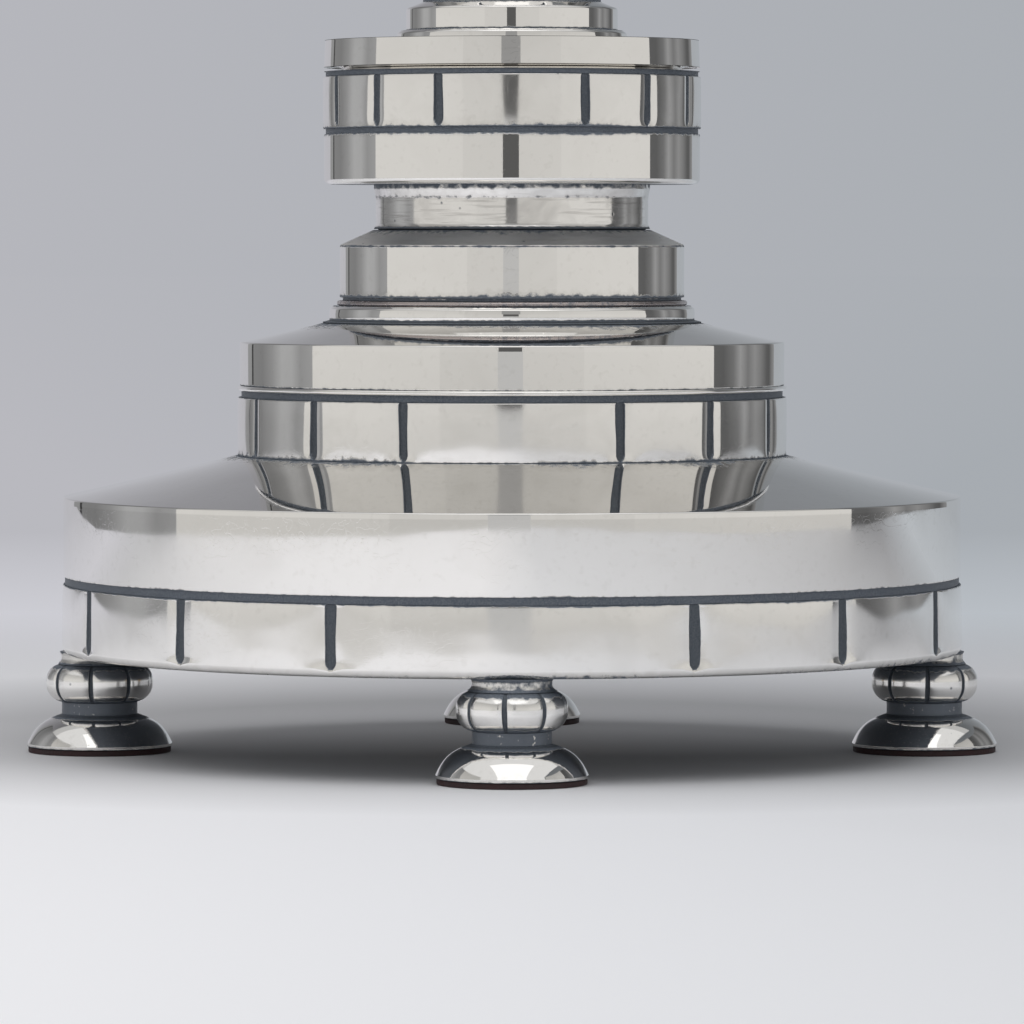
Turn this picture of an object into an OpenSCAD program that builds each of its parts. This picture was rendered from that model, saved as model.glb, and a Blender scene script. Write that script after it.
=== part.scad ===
// Silver candlestick: two stepped drums with chased bands on four lobed feet,
// a waisted neck, a knop, a column, a drip pan and a candle cup with a lift-out
// nozzle. A tie rod through the middle clamps the hollow pieces together.
// Millimetres, +Z up, with the origin on the floor under the middle.

/* [Feet] */
// Distance from the middle of the candlestick to the middle of each foot
foot_spread = 68.9; // [68.6:0.1:69.2]
// Radius of the thin rim of the flared foot
foot_rim_r = 12.1; // [11:0.1:13]
// Thickness of the disc glued under each foot
foot_pad_t = 1; // [0.6:0.1:1.5]
// Height of the flared foot
foot_dome_h = 5.4; // [4.5:0.1:6]
// Radius of the dark neck above the flared foot
foot_neck_r = 6.3; // [5.8:0.1:6.8]
// Height of the dark neck
foot_neck_h = 2; // [1.8:0.1:3]
// Radius of the lobed bead
bead_r = 8.9; // [8.4:0.1:9.4]
// Height of the lobed bead
bead_h = 6.3; // [6:0.05:7]
// Number of lobes around the bead
bead_lobes = 8; // [6:1:10]
// Width of the groove between two lobes
bead_groove_w = 0.8; // [0.5:0.1:1]
// Radius of the collar at its narrowest
foot_collar_r = 6.35; // [6:0.05:6.6]
// Height of the collar between the bead and the base
foot_collar_h = 2.1; // [2:0.05:3]

/* [Base drum] */
// Radius of the chased band of the base
base_r = 75.1; // [75:0.1:75.6]
// Height of the chased band of the base
base_chased_h = 11.5; // [10:0.1:13]
// Height of the dark groove above the chased band
base_groove_h = 1.3; // [1:0.1:1.6]
// Height of the plain band of the base
base_plain_h = 13.2; // [11:0.1:15]
// Height of the cone on top of the base
base_cone_h = 6.8; // [5:0.1:8]

/* [Middle drum] */
// Radius of the chased band of the middle drum
middle_r = 45.8; // [44:0.1:48]
// Height of the chased band of the middle drum
middle_chased_h = 9.7; // [8:0.1:11]
// Height of the dark groove above the chased band
middle_groove_h = 1.1; // [0.8:0.1:1.4]
// Height of the bright wire above the dark groove
middle_wire_h = 0.9; // [0.7:0.1:1.1]
// Height of the plain band of the middle drum
middle_plain_h = 7.2; // [6:0.1:9]
// Height of the cone on top of the middle drum
middle_cone_h = 3.1; // [2.5:0.1:4]

/* [Waist and neck] */
// Radius of the dark foot of the moulding under the waist
moulding_r = 31.7; // [31.2:0.1:32.2]
// Height of the moulding
moulding_h = 2.9; // [2.6:0.1:3.4]
// Height of the thin wire above the moulding
waist_wire_h = 0.9; // [0.7:0.1:1.2]
// Radius of the waist drum
waist_r = 28.7; // [28:0.1:29]
// Height of the waist drum with the dark line at its foot
waist_h = 9; // [8:0.1:10]
// Radius of the shoulder where it meets the neck
shoulder_r = 23.1; // [22.9:0.1:23.5]
// Height of the sloping shoulder
shoulder_h = 2.7; // [2.2:0.1:3.2]
// Radius of the neck
neck_r = 22.7; // [22.4:0.1:22.8]
// Height of the neck
neck_h = 7.6; // [7:0.1:8.4]

/* [Knop] */
// Radius of the plain lower band of the knop
knop_r = 31.3; // [30.5:0.1:32]
// Height of the plain lower band of the knop
knop_plain_h = 8.3; // [7:0.1:9]
// Height of the chased band of the knop
knop_chased_h = 8.6; // [8:0.1:10]
// Height of the dark groove on each side of the chased band
knop_groove_h = 0.9; // [0.8:0.1:1.2]
// Height of the cone on top of the knop
knop_cone_h = 3; // [2.5:0.1:4]

/* [Column] */
// Radius of the column
column_r = 14.4; // [14.2:0.1:14.8]
// Height of the column between its collars
column_h = 58; // [40:1:80]
// Radius of the collar at each end of the column
collar_r = 17.6; // [17.2:0.1:18]
// Height of each collar
collar_h = 5.2; // [4.5:0.1:6]
// Number of upright grooves around the column
column_grooves = 8; // [6:1:12]

/* [Drip pan] */
// Radius of the chased wall of the pan
pan_r = 41.2; // [40:0.1:44]
// Height of the cone under the pan
pan_cone_h = 4.4; // [3.5:0.1:6]
// Height of the chased wall of the pan
pan_wall_h = 9; // [8:0.1:10]

/* [Candle cup] */
// Radius of the chased band around the cup
cup_r = 16.6; // [16.4:0.1:17]
// Height of the chased band around the cup
cup_chased_h = 12; // [10:0.5:14]
// Height of the plain band at the top of the cup
cup_plain_h = 12.6; // [12:0.1:14]
// Radius of the hole that takes the candle
candle_r = 11.4; // [11.2:0.1:11.4]
// Depth of the hole that takes the candle
candle_depth = 21.6; // [20:0.2:21.8]
// Radius of the flange that catches the first drips
flange_r = 19; // [18:0.1:20]

/* [Chased grooves] */
// Depth of the upright grooves
groove_depth = 0.6; // [0.4:0.1:0.8]
// Width of the upright grooves of the base
base_groove_w = 1.9; // [1.4:0.1:2.2]
// Width of the upright grooves everywhere else
small_groove_w = 1.6; // [1.2:0.1:1.8]

/* [Sheet and fixings] */
// Thickness of the sheet silver
sheet = 1.1; // [0.9:0.1:1.2]
// Thickness of the chased bands
band_t = 1.6; // [1.5:0.1:1.7]
// Radius of the tie rod
rod_r = 3; // [2.5:0.1:3.2]
// Radius of the screws that hold the feet
screw_r = 1.5; // [1.2:0.1:1.8]

/* [Hidden] */
FEET = ["front", "right", "back", "left"];
FOOT_AT = [-90, 0, 90, 180];
BEAD_TURN = [-8, 0, 5, -7];
FOOT_PIECES = ["foot_pad_", "foot_dome_", "foot_neck_", "foot_bead_", "foot_collar_"];
BODY_PIECES = [
    "foot_screws", "foot_washers", "foot_nuts",
    "base_plate", "base_chased_band", "base_shell",
    "middle_chased_band", "middle_wire", "middle_shell",
    "waist_moulding", "waist_wire", "waist_drum", "waist_shoulder", "neck",
    "knop_floor", "knop_plain_band", "knop_chased_band", "knop_cap",
    "column_lower_moulding", "column_lower_collar", "column",
    "column_upper_collar", "column_upper_moulding",
    "pan_support", "drip_pan", "pan_chased_wall", "pan_rim_wire",
    "cup_moulding", "cup_chased_band", "candle_cup",
    "nozzle_sleeve", "nozzle_flange",
    "tie_rod", "tie_washer", "tie_nut", "cup_boss"];

round_fn = 96;            // smoothness of the turned pieces on screen
arc_steps = 4;            // straight steps in a rounded corner
dome_steps = 8;           // straight steps down the flared foot
dome_even = 0.45;         // share of the flared foot's fall that is spread evenly
thread_gap = 0.05;        // radial gap between a thread and its nut
rod_gap = 0.2;            // radial gap between the tie rod and a plain hole
sleeve_gap = 0.3;         // radial gap between the nozzle and the cup
groove_inset = 0.3;       // how far a dark groove lies behind its band
edge_round = 0.5;         // rounding of the edge between a plain band and its cone
cone_steps = 6;           // straight steps up a cone
cone_swell = 0.002;       // how far a cone swells, as a share of its length
skirt_h = 4;              // overlap of a shell inside its chased band
tip = 1;                  // length of the pointed end of an upright groove
past = 1;                 // how far a cutter runs past the face it cuts
seat_w = 3;               // width of the flat seat on top of a drum
moulding_step = 1.2;      // how far the face of a moulding lies inside its foot
moulding_foot_h = 0.5;    // height of the sloping foot of a moulding
moulding_round = 1;       // rounding at the top of a moulding
collar_round = 0.6;       // rounding of the outer edge of a column collar
collar_drop = 1.8;        // how far that rounding lies under the top of the collar
collar_lip = 0.4;         // width and height of the lip against the column
foot_collar_flare = 0.3;  // how much a foot collar widens under the base, half as much
                          // as it widens on the bead
waist_step = 0.5;         // height and depth of the dark step at the foot of the waist
neck_step = 0.4;          // height and depth of the dark step at the foot of the neck
neck_flare = 0.3;         // how much the neck widens at its ends
neck_flare_h = 2.2;       // height of the widening under the knop
neck_solder_h = 0.8;      // height of the dark solder under the knop
flange_rim = 0.9;         // rounding of the raised rim of the nozzle

// Heights of the joints between the pieces, from the floor up
dome_z = foot_pad_t;
foot_neck_z = dome_z + foot_dome_h;
bead_z = foot_neck_z + foot_neck_h;
foot_collar_z = bead_z + bead_h;
base_z = foot_collar_z + foot_collar_h;
base_groove_z = base_z + base_chased_h;
base_plain_z = base_groove_z + base_groove_h;
base_edge_z = base_plain_z + base_plain_h;
middle_z = base_edge_z + base_cone_h;
middle_groove_z = middle_z + middle_chased_h;
middle_wire_z = middle_groove_z + middle_groove_h;
middle_plain_z = middle_wire_z + middle_wire_h;
middle_edge_z = middle_plain_z + middle_plain_h;
moulding_z = middle_edge_z + middle_cone_h;
waist_wire_z = moulding_z + moulding_h;
waist_z = waist_wire_z + waist_wire_h;
shoulder_z = waist_z + waist_h;
neck_z = shoulder_z + shoulder_h;
knop_z = neck_z + neck_h;
knop_groove_z = knop_z + knop_plain_h;
knop_chased_z = knop_groove_z + knop_groove_h;
knop_cap_z = knop_chased_z + knop_chased_h;
knop_edge_z = knop_cap_z + 2 * knop_groove_h;
lower_moulding_z = knop_edge_z + knop_cone_h;
lower_collar_z = lower_moulding_z + moulding_h;
column_z = lower_collar_z + collar_h;
upper_collar_z = column_z + column_h;
upper_moulding_z = upper_collar_z + collar_h;
pan_cone_z = upper_moulding_z + moulding_h;
pan_z = pan_cone_z + pan_cone_h;
pan_wall_z = pan_z - 0.8;
pan_rim_z = pan_wall_z + pan_wall_h;
cup_z = pan_z + sheet;
cup_chased_z = cup_z + moulding_h;
cup_groove_z = cup_chased_z + cup_chased_h;
cup_plain_z = cup_groove_z + middle_groove_h;
cup_top_z = cup_plain_z + cup_plain_h;

// Radii worked out from the driving ones
base_plain_r = base_r - 0.3;
middle_plain_r = middle_r - 0.4;
small_moulding_r = collar_r + 2.8;
knop_cap_r = knop_r;
pan_cone_r = pan_r - 5;
sleeve_r = candle_r + 1.3;
cup_bore_r = sleeve_r + sleeve_gap;
cup_liner_r = cup_bore_r + 1.4;
cup_lip_r = cup_r - 0.8;
rod_hole_r = rod_r + rod_gap;
nut_bore_r = rod_r + thread_gap;
screw_hole_r = screw_r + thread_gap;
screw_head_h = 1.5;
washer_t = 0.6;
washer_r = 2.1 * screw_r;
foot_nut_z = base_z + sheet + washer_t;
foot_nut_h = 2.2;
tie_washer_t = 1.2;
tie_nut_h = 4.5;
tie_nut_r = 1.9 * rod_r;
tie_nut_z = base_z - tie_washer_t - tie_nut_h;
cup_boss_z = cup_z + sheet;
cup_boss_h = 5;
flange_t = 1.2;
nozzle_top_z = cup_top_z + flange_t;
dome_lip = 0.5;           // upright edge at the rim of the flared foot
bead_low_round = 3;       // rounding of the bead at its lower side
bead_high_round = 2.6;    // rounding of the bead at its upper side

base_low_round = 1.3;     // rounding at the lower edge of the base
low_round = 0.9;          // rounding at the lower edges of the knop and the pan
base_groove_low = 1.1;    // height at which the base's upright grooves start
pan_groove_low = 0.8;     // height at which the pan's upright grooves start
column_seat_r = column_r - 2;

// ---------- outlines and helpers ----------

// Points along an arc in the radius and height plane, from one angle to another
function arc(r, z, size, from, to) =
    [for (i = [0:arc_steps])
        let (angle = from + (to - from) * i / arc_steps)
        [r + size * cos(angle), z + size * sin(angle)]];

// The rounded upper edge where an upright wall turns into a cone of this slope
function upper_edge(r, z, size, slope) =
    arc(r - size, z - size * (1 - sin(slope)) / cos(slope), size, 0, 90 - slope);

// Points up a cone that swells a little between its lower and its upper end
function cone_face(low_r, low_z, high_r, high_z) =
    [for (i = [1:cone_steps])
        let (way = i / cone_steps, swell = 4 * cone_swell * way * (1 - way))
        [low_r + (high_r - low_r) * way + (high_z - low_z) * swell,
         low_z + (high_z - low_z) * way + (low_r - high_r) * swell]];

// The rounded lower edge of an upright wall
function lower_edge(r, z, size) = arc(r - size, z + size, size, -90, 0);

module turned(outline) rotate_extrude($fn = round_fn) polygon(outline);

module ring(outer, inner, low, high)
    turned([[inner, low], [outer, low], [outer, high], [inner, high]]);

module hex(radius, low, high)
    translate([0, 0, low]) cylinder(r = radius, h = high - low, $fn = 6);

module disc(radius, low, high)
    translate([0, 0, low]) cylinder(r = radius, h = high - low, $fn = round_fn);

module bore(radius, low, high) disc(radius, low - past, high + past);

module at_foot(index) rotate(FOOT_AT[index]) translate([foot_spread, 0, 0]) children();

// One upright cutter facing +X, with a pointed lower end
module groove_cutter(face_r, low, high, width, depth)
    translate([face_r - depth, 0, 0]) rotate([90, 0, 90]) linear_extrude(depth + past)
        polygon([[0, low], [width / 2, low + tip], [width / 2, high],
                 [-width / 2, high], [-width / 2, low + tip]]);

// Three grooves in each quarter, so that a wide panel faces each foot
module chased_grooves(face_r, low, high, width)
    for (quarter = [0:90:270])
        for (turn = [22.5, 45, 67.5])
            rotate(quarter + turn) groove_cutter(face_r, low, high, width, groove_depth);

// A band with upright grooves running from top to bottom
module chased_band(outer, inner, low, high, width) difference() {
    ring(outer, inner, low, high);
    chased_grooves(outer, low - past - tip, high + past, width);
}

// The upper part of a drum: the skirt inside the chased band, the floor of the
// dark groove, the plain band and the cone with its flat seat
module drum_shell(band_r, skirt_r, groove_z, band_z, edge_z, top_r, top_z) {
    slope = atan((top_z - edge_z) / (band_r - top_r)) + atan(4 * cone_swell);
    seat_r = top_r - seat_w;
    turned(concat(
        [[skirt_r - sheet, groove_z - skirt_h], [skirt_r, groove_z - skirt_h],
         [skirt_r, groove_z], [band_r - groove_inset, groove_z],
         [band_r - groove_inset, band_z], [band_r, band_z]],
        upper_edge(band_r, edge_z, edge_round, slope),
        cone_face(band_r, edge_z, top_r, top_z),
        [[seat_r, top_z], [seat_r, top_z - sheet], [top_r, top_z - sheet],
         [band_r - sheet - groove_inset, edge_z - sheet], [skirt_r - sheet, groove_z]]));
}

// A moulding that stands on its wide foot and rounds in at the top
module moulding(foot_r, inner, low, high) turned(concat(
    [[inner, low], [foot_r, low], [foot_r - moulding_step / 6, low + moulding_foot_h / 2],
     [foot_r - moulding_step, low + moulding_foot_h]],
    arc(foot_r - moulding_step - moulding_round, high - moulding_round, moulding_round, 0, 90),
    [[inner, high]]));

// A short drum with a rounded outer edge on its upper side
module collar() turned(concat(
    [[column_seat_r, 0], [collar_r, 0]],
    arc(collar_r - collar_round, collar_h - collar_drop, collar_round, 0, 60),
    [[column_r + collar_lip, collar_h - collar_lip], [column_r + collar_lip, collar_h],
     [column_seat_r, collar_h]]));

module half_round_wire(outer, inner, low, high) {
    radius = (high - low) / 2;
    turned(concat([[inner, low]], arc(outer - radius, low + radius, radius, -90, 90),
                  [[inner, high]]));
}

// ---------- feet ----------

module foot_pad(index) color("#3a1418") at_foot(index)
    disc(foot_rim_r - 0.2, 0, foot_pad_t);

// The face of the flared foot, which grows steeper towards its rim
function dome_face() =
    [for (i = [dome_steps:-1:0])
        let (out = i / dome_steps, drop = dome_even * out + (1 - dome_even) * pow(out, 4))
        [foot_neck_r + (foot_rim_r - foot_neck_r) * out,
         foot_neck_z - (foot_dome_h - dome_lip) * drop]];

// Flared foot with a counterbore for the screw head
module foot_dome(index) color("silver") at_foot(index) difference() {
    turned(concat([[0, dome_z], [foot_rim_r, dome_z]], dome_face(), [[0, foot_neck_z]]));
    bore(screw_hole_r, dome_z, foot_neck_z);
    disc(2 * screw_r + thread_gap, dome_z - past, dome_z + screw_head_h);
}

module foot_neck(index) color("#3c444b") at_foot(index)
    ring(foot_neck_r, screw_hole_r, foot_neck_z, bead_z);

// Outline of the bead, set in by an amount to give the floor of its grooves
module bead_outline(inset) turned(concat(
    [[screw_hole_r, bead_z]],
    arc(bead_r - bead_low_round - inset, bead_z + bead_low_round, bead_low_round, -90, 0),
    arc(bead_r - bead_high_round - inset, foot_collar_z - bead_high_round,
        bead_high_round, 0, 90),
    [[screw_hole_r, foot_collar_z]]));

module foot_bead(index) color("silver") at_foot(index) union() {
    bead_outline(groove_depth);
    difference() {
        bead_outline(0);
        for (lobe = [1:bead_lobes])
            rotate(BEAD_TURN[index] - FOOT_AT[index] + 360 * lobe / bead_lobes)
                translate([foot_collar_r, -bead_groove_w / 2, bead_z - past])
                    cube([bead_r, bead_groove_w, bead_h + 2 * past]);
    }
}

// Collar that is narrow in the middle and flares out on the bead and under the base
module foot_collar(index) color("#b9b4ab") at_foot(index) turned([
    [screw_hole_r, foot_collar_z], [foot_collar_r + 2 * foot_collar_flare, foot_collar_z],
    [foot_collar_r, foot_collar_z + 2.5 * foot_collar_flare],
    [foot_collar_r, base_z - 2 * foot_collar_flare],
    [foot_collar_r + foot_collar_flare, base_z], [screw_hole_r, base_z]]);

module foot_screws() color("#c9b37a") for (index = [0:3]) at_foot(index) union() {
    disc(2 * screw_r, dome_z, dome_z + screw_head_h);
    disc(screw_r, dome_z, foot_nut_z + foot_nut_h + 1);
}

module foot_washers() color("#c9b37a") for (index = [0:3]) at_foot(index)
    ring(washer_r, screw_hole_r, foot_nut_z - washer_t, foot_nut_z);

module foot_nuts() color("#c9b37a") for (index = [0:3]) at_foot(index) difference() {
    hex(2 * screw_r, foot_nut_z, foot_nut_z + foot_nut_h);
    bore(screw_hole_r, foot_nut_z, foot_nut_z + foot_nut_h);
}

// ---------- base drum ----------

module base_plate() color("silver") difference() {
    disc(base_r - band_t, base_z, base_z + sheet);
    bore(rod_hole_r, base_z, base_z + sheet);
    for (index = [0:3]) at_foot(index) bore(screw_hole_r, base_z, base_z + sheet);
}

// The grooves of the base stop short of its rounded lower edge
module base_chased_band() color("silver") difference() {
    turned(concat(
        [[base_r - band_t, base_z]],
        lower_edge(base_r, base_z, base_low_round),
        [[base_r, base_groove_z], [base_r - band_t, base_groove_z]]));
    chased_grooves(base_r, base_z + base_groove_low, base_groove_z + past, base_groove_w);
}

module base_shell() color("silver")
    drum_shell(base_plain_r, base_r - band_t, base_groove_z, base_plain_z,
               base_edge_z, middle_r, middle_z);

// ---------- middle drum ----------

module middle_chased_band() color("silver")
    chased_band(middle_r, middle_r - band_t, middle_z, middle_groove_z, small_groove_w);

// The wire lies in a step at the foot of the plain band
module middle_wire() color("white")
    half_round_wire(middle_r - 0.1, middle_plain_r - groove_inset, middle_wire_z, middle_plain_z);

module middle_shell() color("silver")
    drum_shell(middle_plain_r, middle_r - band_t, middle_groove_z, middle_plain_z,
               middle_edge_z, moulding_r, moulding_z);

// ---------- waist and neck ----------

module waist_moulding() color("silver")
    moulding(moulding_r, waist_r - seat_w, moulding_z, waist_wire_z);

module waist_wire() color("#8d8d8b")
    half_round_wire(waist_r + 0.5, waist_r - seat_w, waist_wire_z, waist_z);

// The dark line at the foot of the drum is a shallow step
module waist_drum() color("silver") turned([
    [waist_r - seat_w, waist_z], [waist_r - waist_step, waist_z],
    [waist_r - waist_step, waist_z + waist_step], [waist_r, waist_z + waist_step],
    [waist_r, shoulder_z], [waist_r - sheet, shoulder_z],
    [waist_r - sheet, waist_z + sheet], [waist_r - seat_w, waist_z + sheet]]);

// A low cone with a small upright edge at its foot
module waist_shoulder() color("silver") turned([
    [waist_r - seat_w, shoulder_z], [waist_r, shoulder_z], [waist_r - 0.15, shoulder_z + 0.25],
    [shoulder_r, neck_z], [shoulder_r - seat_w, neck_z],
    [shoulder_r - seat_w, neck_z - sheet], [shoulder_r, neck_z - sheet]]);

// Short tube with a dark step at its foot and a small flare at each end
module neck() color("silver") turned([
    [neck_r - sheet, neck_z], [neck_r - neck_step, neck_z],
    [neck_r - neck_step, neck_z + neck_step], [neck_r + neck_flare, neck_z + neck_step],
    [neck_r, neck_z + 3 * neck_step], [neck_r, knop_z - neck_flare_h],
    [neck_r + neck_flare, knop_z - neck_solder_h], [neck_r + neck_flare, knop_z],
    [neck_r - sheet, knop_z]]);

// ---------- knop ----------

module knop_floor() color("silver") difference() {
    disc(knop_r - band_t, knop_z, knop_z + sheet);
    bore(rod_hole_r, knop_z, knop_z + sheet);
}

// The plain band carries the skirt that goes up inside the chased band
module knop_plain_band() color("silver") turned(concat(
    [[knop_r - band_t, knop_z]],
    lower_edge(knop_r, knop_z, low_round),
    [[knop_r, knop_groove_z], [knop_r - groove_inset, knop_groove_z],
     [knop_r - groove_inset, knop_chased_z], [knop_r - band_t, knop_chased_z],
     [knop_r - band_t, knop_chased_z + skirt_h],
     [knop_r - band_t - sheet, knop_chased_z + skirt_h],
     [knop_r - band_t - sheet, knop_z + sheet], [knop_r - band_t, knop_z + sheet]]));

module knop_chased_band() color("silver")
    chased_band(knop_r + 0.2, knop_r - band_t, knop_chased_z, knop_cap_z, small_groove_w);

module knop_cap() color("silver")
    drum_shell(knop_cap_r, knop_r - band_t, knop_cap_z, knop_cap_z + knop_groove_h,
               knop_edge_z, small_moulding_r, lower_moulding_z);

// ---------- column ----------

module column_lower_moulding() color("silver")
    moulding(small_moulding_r, column_seat_r, lower_moulding_z, lower_collar_z);

module column_lower_collar() color("silver") translate([0, 0, lower_collar_z]) collar();

module column() color("silver") difference() {
    ring(column_r, column_r - sheet - 0.4, column_z, upper_collar_z);
    for (groove = [1:column_grooves])
        rotate(360 * (groove - 0.5) / column_grooves)
            groove_cutter(column_r, column_z + past, upper_collar_z - past,
                          small_groove_w - 0.4, groove_depth);
}

module column_upper_collar() color("silver")
    translate([0, 0, upper_moulding_z]) mirror([0, 0, 1]) collar();

module column_upper_moulding() color("silver") translate([0, 0, pan_cone_z]) mirror([0, 0, 1])
    moulding(small_moulding_r, column_seat_r, 0, moulding_h);

// ---------- drip pan ----------

// Hollow cone under the pan
module pan_support() color("silver") turned([
    [small_moulding_r - seat_w, pan_cone_z], [small_moulding_r, pan_cone_z],
    [pan_cone_r, pan_z], [pan_cone_r - seat_w, pan_z],
    [small_moulding_r - 0.5, pan_cone_z + sheet],
    [small_moulding_r - seat_w, pan_cone_z + sheet]]);

module drip_pan() color("silver") difference() {
    disc(pan_r - band_t, pan_z, pan_z + sheet);
    bore(rod_hole_r, pan_z, pan_z + sheet);
}

module pan_chased_wall() color("silver") difference() {
    turned(concat(
        [[pan_r - band_t, pan_wall_z]],
        lower_edge(pan_r, pan_wall_z, low_round),
        [[pan_r, pan_rim_z], [pan_r - band_t, pan_rim_z]]));
    chased_grooves(pan_r, pan_wall_z + pan_groove_low, pan_rim_z + past, small_groove_w);
}

module pan_rim_wire() color("white")
    half_round_wire(pan_r + 0.3, pan_r - band_t, pan_rim_z, pan_rim_z + 1.2);

// ---------- candle cup ----------

module cup_moulding() color("silver") moulding(cup_r + 2.8, cup_liner_r, cup_z, cup_chased_z);

module cup_chased_band() color("silver")
    chased_band(cup_r, cup_liner_r, cup_chased_z, cup_groove_z, small_groove_w);

// Straight liner with a floor, and a thicker plain band at the top
module candle_cup() color("silver") difference() {
    turned([
        [0, cup_z], [cup_liner_r, cup_z], [cup_liner_r, cup_groove_z],
        [cup_lip_r - groove_inset, cup_groove_z], [cup_lip_r - groove_inset, cup_plain_z],
        [cup_lip_r, cup_plain_z], [cup_lip_r, cup_top_z], [cup_bore_r, cup_top_z],
        [cup_bore_r, cup_z + sheet], [0, cup_z + sheet]]);
    bore(rod_hole_r, cup_z, cup_z + sheet);
}

// ---------- lift-out nozzle ----------

module nozzle_sleeve() color("silver") difference() {
    disc(sleeve_r, nozzle_top_z - candle_depth - sheet, nozzle_top_z);
    disc(candle_r, nozzle_top_z - candle_depth, nozzle_top_z + past);
}

// Flat ring with a rounded, slightly raised rim
module nozzle_flange() color("silver") turned(concat(
    [[sleeve_r, cup_top_z]],
    arc(flange_r - flange_rim, cup_top_z + flange_rim, flange_rim, -90, 150),
    [[flange_r - 2 * flange_rim - 0.2, nozzle_top_z], [sleeve_r, nozzle_top_z]]));

// ---------- tie rod ----------

module tie_rod() color("#c9b37a") disc(rod_r, tie_nut_z - 1, cup_boss_z + cup_boss_h);

module tie_washer() color("#c9b37a")
    ring(3 * rod_r, rod_hole_r, base_z - tie_washer_t, base_z);

module tie_nut() color("#c9b37a") difference() {
    hex(tie_nut_r, tie_nut_z, tie_nut_z + tie_nut_h);
    bore(nut_bore_r, tie_nut_z, tie_nut_z + tie_nut_h);
}

module cup_boss() color("#c9b37a") difference() {
    hex(2 * rod_r, cup_boss_z, cup_boss_z + cup_boss_h);
    bore(nut_bore_r, cup_boss_z, cup_boss_z + cup_boss_h);
}

// ---------- drawing ----------

for (index = [0:3]) {
    foot_pad(index);
    foot_dome(index);
    foot_neck(index);
    foot_bead(index);
    foot_collar(index);
}
foot_screws();
foot_washers();
foot_nuts();
base_plate();
base_chased_band();
base_shell();
middle_chased_band();
middle_wire();
middle_shell();
waist_moulding();
waist_wire();
waist_drum();
waist_shoulder();
neck();
knop_floor();
knop_plain_band();
knop_chased_band();
knop_cap();
column_lower_moulding();
column_lower_collar();
column();
column_upper_collar();
column_upper_moulding();
pan_support();
drip_pan();
pan_chased_wall();
pan_rim_wire();
cup_moulding();
cup_chased_band();
candle_cup();
nozzle_sleeve();
nozzle_flange();
tie_rod();
tie_washer();
tie_nut();
cup_boss();
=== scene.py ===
"""Looks of the silver candlestick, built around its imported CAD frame.

Every piece keeps the place and size of the CAD nodes that it stands for. The turned
pieces are lathed from rounded outlines with exact normals, and the chased bands, the
beads and the column are lathed with their grooves pressed in. A vertex attribute named
patina says how dark the oxide is, and the materials break it up with noise.
Sizes are in metres, and names that end in _DEG are in degrees.
"""
import math
import random

import bpy
import numpy as np
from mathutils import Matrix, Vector

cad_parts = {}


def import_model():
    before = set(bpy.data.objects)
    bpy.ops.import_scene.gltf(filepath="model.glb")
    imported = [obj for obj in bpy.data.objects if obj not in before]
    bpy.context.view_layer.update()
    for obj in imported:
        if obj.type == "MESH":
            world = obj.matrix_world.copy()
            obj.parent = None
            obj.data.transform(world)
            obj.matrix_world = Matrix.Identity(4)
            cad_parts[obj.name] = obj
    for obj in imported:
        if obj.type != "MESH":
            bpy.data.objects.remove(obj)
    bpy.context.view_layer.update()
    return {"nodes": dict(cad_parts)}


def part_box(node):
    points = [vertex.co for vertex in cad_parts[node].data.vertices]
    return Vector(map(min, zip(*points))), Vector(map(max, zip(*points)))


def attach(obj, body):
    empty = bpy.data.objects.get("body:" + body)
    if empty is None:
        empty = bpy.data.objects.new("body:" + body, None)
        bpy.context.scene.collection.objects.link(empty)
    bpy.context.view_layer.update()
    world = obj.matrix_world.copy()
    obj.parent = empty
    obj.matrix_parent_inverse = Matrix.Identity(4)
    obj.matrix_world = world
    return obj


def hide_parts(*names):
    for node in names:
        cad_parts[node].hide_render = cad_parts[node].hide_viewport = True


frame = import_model()

MM = 0.001
FEET = ("front", "right", "back", "left")
BODY = "candlestick"
NOZZLE = "nozzle"

# Camera: distance from the axis, height above the floor and tilt
CAMERA_BACK = 1.1676
CAMERA_HEIGHT = 0.0871
CAMERA_DOWN_DEG = 2.307
LENS = 246.1

# Thickness of sheets and bands, depth of the lines, width of the seats and roundings
SHEET = 1.1 * MM
BAND = 1.6 * MM
INSET = 0.3 * MM
SEAT = 3 * MM
CRISP = 0.12 * MM
SOFT = 0.1 * MM
SHARP = 0.05 * MM

# Hidden radii: candle hole, cup's liner, tie rod's hole and screw hole
CANDLE_R = 11.4 * MM
LINER_R = 14.4 * MM
ROD_HOLE = 3.2 * MM
SCREW_HOLE = 1.55 * MM

# Grooves of the chased work, and how dark their floors and the deepest stains are
GROOVE_DEPTH = 0.6 * MM
WIDE_GROOVE = 1.9 * MM
SMALL_GROOVE = 1.6 * MM
COLUMN_GROOVE = 1.2 * MM
BEAD_GROOVE = 0.8 * MM
BAND_GROOVES_DEG = tuple(q + t for q in (0, 90, 180, 270) for t in (22.5, 45, 67.5))
COLUMN_GROOVES_DEG = tuple(22.5 + 45 * k for k in range(8))
BEAD_TURN_DEG = {"front": -8, "right": 0, "back": 5, "left": -7}
GROOVE_TIP = 1.0 * MM
EDGE_BLUR = 0.16 * MM
GROOVE_DARK = 1.12
DEEPEST = 1.4

# Dark grooves between the bands
BASE_LINE = 1.3 * MM
MIDDLE_LINE = 1.1 * MM
KNOP_LINE = 0.9 * MM

# Cones on the drums, their rims and the lean of the bands under them
BASE_CONE = 6.8 * MM
MIDDLE_CONE = 3.1 * MM
KNOP_CONE = 3.0 * MM
CONE_HOLLOW = 0.004
EDGE = 0.3 * MM
LEAN_H = 0.9 * MM
LEAN = 0.035 * MM
BASE_LEAN = 0.2 * MM

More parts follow.
